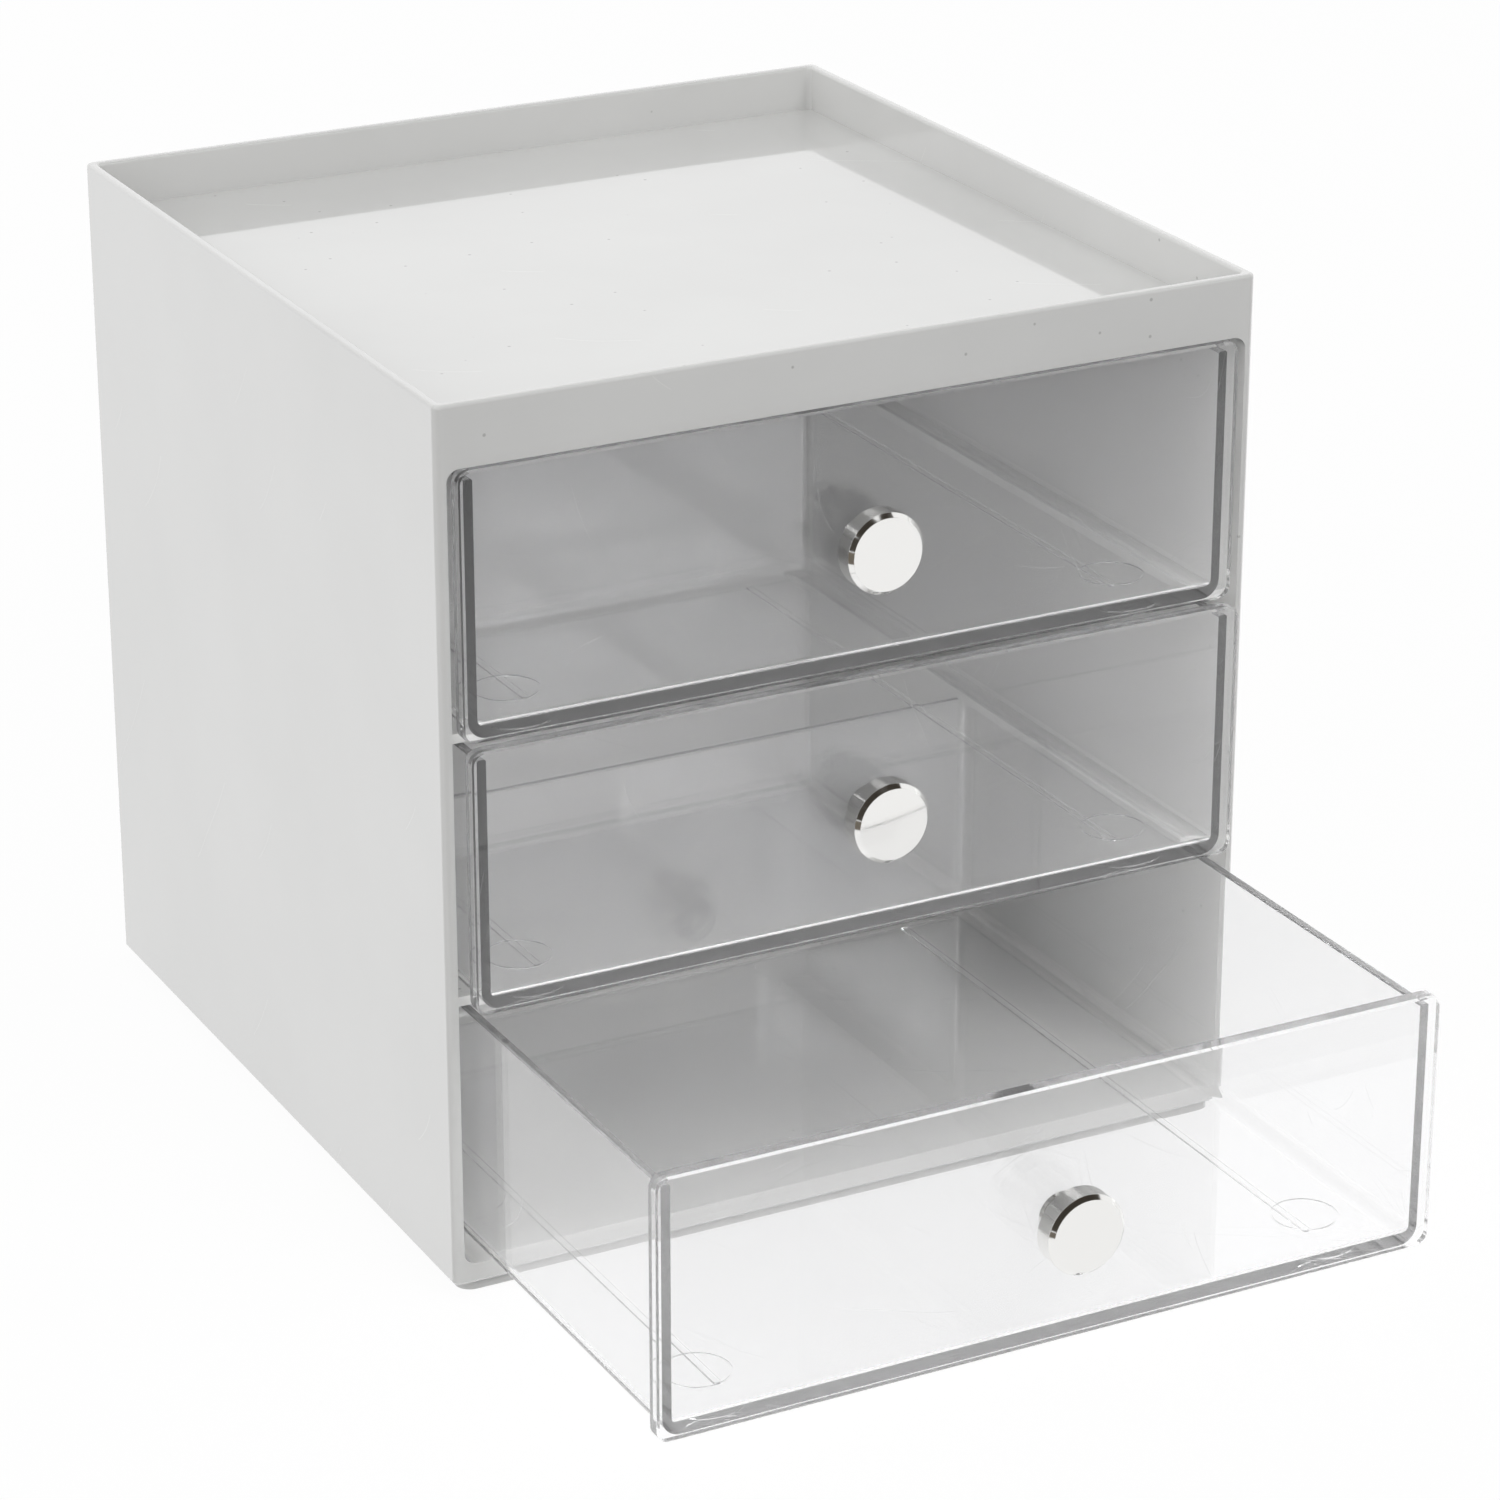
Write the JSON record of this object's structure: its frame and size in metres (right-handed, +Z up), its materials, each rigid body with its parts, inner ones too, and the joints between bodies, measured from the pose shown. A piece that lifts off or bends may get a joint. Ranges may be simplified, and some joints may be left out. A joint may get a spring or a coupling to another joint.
{
  "type": "drawer organizer",
  "caption": "Moulded case with an open front and a shallow tray top, holding clear drawers one above the other, each pulled out by a round metal knob.",
  "frame": {"origin": "middle of the base, on the surface that the case stands on", "axes": "+X to the right seen from the front, front towards -Y, +Z up"},
  "size_m": [0.165, 0.2526, 0.171],
  "materials": {
    "case_plastic": "smooth light grey moulding with a soft gloss",
    "clear_plastic": "clear, polished",
    "knob_metal": "polished"
  },
  "bodies": {
    "case": {"case": "case_plastic"},
    "bottom_drawer": {"bottom_drawer": "clear_plastic", "bottom_knob": "knob_metal"},
    "middle_drawer": {"middle_drawer": "clear_plastic", "middle_knob": "knob_metal"},
    "top_drawer": {"top_drawer": "clear_plastic", "top_knob": "knob_metal"}
  },
  "joints": [
    {"name": "bottom_drawer_slide", "type": "slide", "parent": "case", "child": "bottom_drawer", "axis": [0, -1, 0], "range_m": [-0.07355, 0.05145]},
    {"name": "middle_drawer_slide", "type": "slide", "parent": "case", "child": "middle_drawer", "axis": [0, -1, 0], "range_m": [-0.0032, 0.1218]},
    {"name": "top_drawer_slide", "type": "slide", "parent": "case", "child": "top_drawer", "axis": [0, -1, 0], "range_m": [0, 0.125]}
  ]
}
